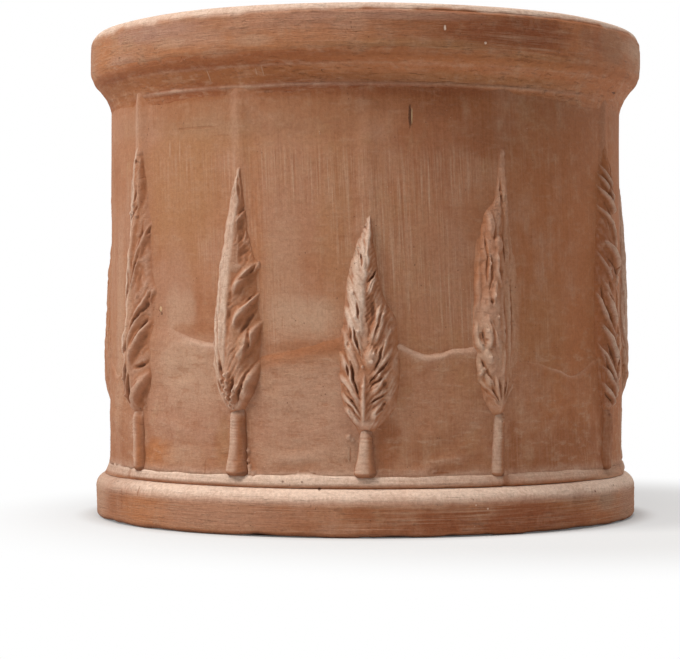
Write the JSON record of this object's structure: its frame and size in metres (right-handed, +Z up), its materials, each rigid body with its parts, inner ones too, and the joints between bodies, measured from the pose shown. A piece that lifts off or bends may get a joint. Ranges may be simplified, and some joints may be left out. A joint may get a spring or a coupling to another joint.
{
  "type": "flower pot",
  "caption": "Round unglazed terracotta flower pot with a straight wall, moulded rim and foot, and cypress trees in relief standing over low hills.",
  "frame": {"origin": "centre of the underside, on the floor that the pot stands on", "axes": "+Z up along the axis of the pot, -Y towards the front, where the shortest tree stands"},
  "size_m": [0.45, 0.45, 0.388],
  "materials": {
    "terracotta": "unglazed fired clay, matt, brushed and scraped"
  },
  "bodies": {
    "root": {"floor_slab": "terracotta", "drum_wall": "terracotta", "foot_ring": "terracotta", "foot_bead": "terracotta", "rim_cove": "terracotta", "rim_band": "terracotta", "hill_panel_01": "terracotta", "hill_panel_02": "terracotta", "hill_panel_03": "terracotta", "hill_panel_04": "terracotta", "hill_panel_05": "terracotta", "hill_panel_06": "terracotta", "hill_panel_07": "terracotta", "hill_panel_08": "terracotta", "hill_panel_09": "terracotta", "hill_panel_10": "terracotta", "hill_panel_11": "terracotta", "hill_panel_12": "terracotta", "cypress_foliage_01": "terracotta", "cypress_foliage_02": "terracotta", "cypress_foliage_03": "terracotta", "cypress_foliage_04": "terracotta", "cypress_foliage_05": "terracotta", "cypress_foliage_06": "terracotta", "cypress_foliage_07": "terracotta", "cypress_foliage_08": "terracotta", "cypress_foliage_09": "terracotta", "cypress_foliage_10": "terracotta", "cypress_foliage_11": "terracotta", "cypress_foliage_12": "terracotta", "cypress_trunk_01": "terracotta", "cypress_trunk_02": "terracotta", "cypress_trunk_03": "terracotta", "cypress_trunk_04": "terracotta", "cypress_trunk_05": "terracotta", "cypress_trunk_06": "terracotta", "cypress_trunk_07": "terracotta", "cypress_trunk_08": "terracotta", "cypress_trunk_09": "terracotta", "cypress_trunk_10": "terracotta", "cypress_trunk_11": "terracotta", "cypress_trunk_12": "terracotta"}
  },
  "joints": []
}
